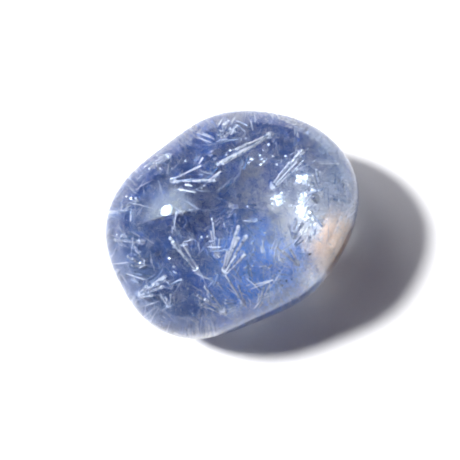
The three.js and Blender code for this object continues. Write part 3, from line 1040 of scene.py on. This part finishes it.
def diffuser(stage, right, ahead, lamp):
    """The lit part of the diffuser, a disc far behind the stone that shows in the polish."""
    side = unit(np.cross(UP, lamp))
    turn = np.linspace(0, 2 * math.pi, DIFFUSER_CORNERS, endpoint=False)[:, None]
    edge = (side * np.cos(turn) + np.cross(lamp, side) * np.sin(turn)) * math.tan(DIFFUSER_HALF_ANGLE)
    middle = np.array([0, 0, GIRDLE_HEIGHT])
    disc = mesh_piece("diffuser", middle + (lamp + edge) * DIFFUSER_REACH, np.arange(DIFFUSER_CORNERS)[None],
                      False, DIFFUSER_CORNERS)
    disc.data.materials.append(diffuser_material(stage, right, ahead, lamp, middle))
    disc.visible_camera = False
    disc.visible_diffuse = False
    disc.visible_shadow = False


def pale_floor(stage):
    """A plain pale floor a hair under the stone."""
    corners = np.array([[-1, -1, 0], [1, -1, 0], [1, 1, 0], [-1, 1, 0]]) * FLOOR_HALF
    floor = mesh_piece("floor", corners - UP * FLOOR_GAP, np.array([[0, 1, 2, 3]]), False, 4)
    paper = material_of("pale_floor")
    shader = add_node(paper.node_tree, "ShaderNodeBsdfPrincipled", {
        "Base Color": (*stage.floor, 1),
        "Roughness": FLOOR_ROUGHNESS,
    })
    floor.data.materials.append(surface_of(paper, shader))


def add_camera(scene, right, ahead):
    """The camera, which looks down at the stone's middle from the picture's near side."""
    stage = scene.stage_settings
    look = math.cos(stage.elevation) * ahead - math.sin(stage.elevation) * UP
    upright = math.sin(stage.elevation) * ahead + math.cos(stage.elevation) * UP
    middle = outline_middle(scene.pebble_settings)
    centre = np.array([-middle[0], -middle[1], GIRDLE_HEIGHT])
    target = centre + right * stage.aim[0] + upright * stage.aim[1]
    lens = bpy.data.cameras.new("camera")
    lens.lens = stage.lens
    lens.clip_start = NEAREST
    camera = bpy.data.objects.new("camera", lens)
    scene.collection.objects.link(camera)
    camera.location = target - look * stage.picture_width * stage.lens / lens.sensor_width
    set_axes(camera, right, upright, -look)
    scene.camera = camera


class PEBBLE_OT_stage(Operator):
    """Sets the camera, the lights, the sky and the floor"""

    bl_idname = "pebble.stage"
    bl_label = "Stage"

    def execute(self, context):
        scene = context.scene
        stage = scene.stage_settings
        scene.view_settings.view_transform = "Standard"
        scene.cycles.sample_clamp_indirect = SPARKLE_LIMIT
        scene.cycles.filter_width = PICTURE_SOFTNESS
        right = np.array([math.cos(stage.turn), -math.sin(stage.turn), 0])
        ahead = np.array([math.sin(stage.turn), math.cos(stage.turn), 0])
        add_camera(scene, right, ahead)
        flat = math.cos(stage.sun_azimuth) * right + math.sin(stage.sun_azimuth) * ahead
        towards = math.cos(stage.sun_elevation) * flat + math.sin(stage.sun_elevation) * UP
        key_light(stage, towards)
        inside_light("dumortierite", stage.inside_power, stage, towards)
        inside_light("glints", stage.glint_power, stage, towards)
        lamp = unit(stage.lamp[0] * right + stage.lamp[1] * ahead + stage.lamp[2] * UP)
        scene.world = sky_of(stage, right, ahead, lamp)
        diffuser(stage, right, ahead, lamp)
        pale_floor(stage)
        return {"FINISHED"}


OPERATORS = (PEBBLE_OT_stage, PEBBLE_OT_quartz, PEBBLE_OT_main_needles, PEBBLE_OT_fine_needles,
             PEBBLE_OT_skin_fibres, PEBBLE_OT_grains)


class PEBBLE_PT_panel(Panel):
    """Lists the pieces and the stage"""

    bl_label = "Dumortierite in quartz"
    bl_space_type = "VIEW_3D"
    bl_region_type = "UI"
    bl_category = "Pebble"

    def draw(self, context):
        for operator in OPERATORS:
            self.layout.operator(operator.bl_idname)


CLASSES = (PebbleSettings, NeedleSettings, StageSettings, *OPERATORS, PEBBLE_PT_panel)


def register():
    """Adds the classes and the scene's settings."""
    for item in CLASSES:
        bpy.utils.register_class(item)
    bpy.types.Scene.pebble_settings = PointerProperty(type=PebbleSettings)
    bpy.types.Scene.needle_settings = PointerProperty(type=NeedleSettings)
    bpy.types.Scene.stage_settings = PointerProperty(type=StageSettings)


def unregister():
    """Takes them away again."""
    del bpy.types.Scene.stage_settings
    del bpy.types.Scene.needle_settings
    del bpy.types.Scene.pebble_settings
    for item in reversed(CLASSES):
        bpy.utils.unregister_class(item)


def main():
    """Makes the whole scene."""
    register()
    bpy.ops.pebble.stage()
    bpy.ops.pebble.quartz()
    bpy.ops.pebble.main_needles()
    bpy.ops.pebble.fine_needles()
    bpy.ops.pebble.stained_fibres()
    bpy.ops.pebble.grains()


if __name__ == "__main__":
    main()
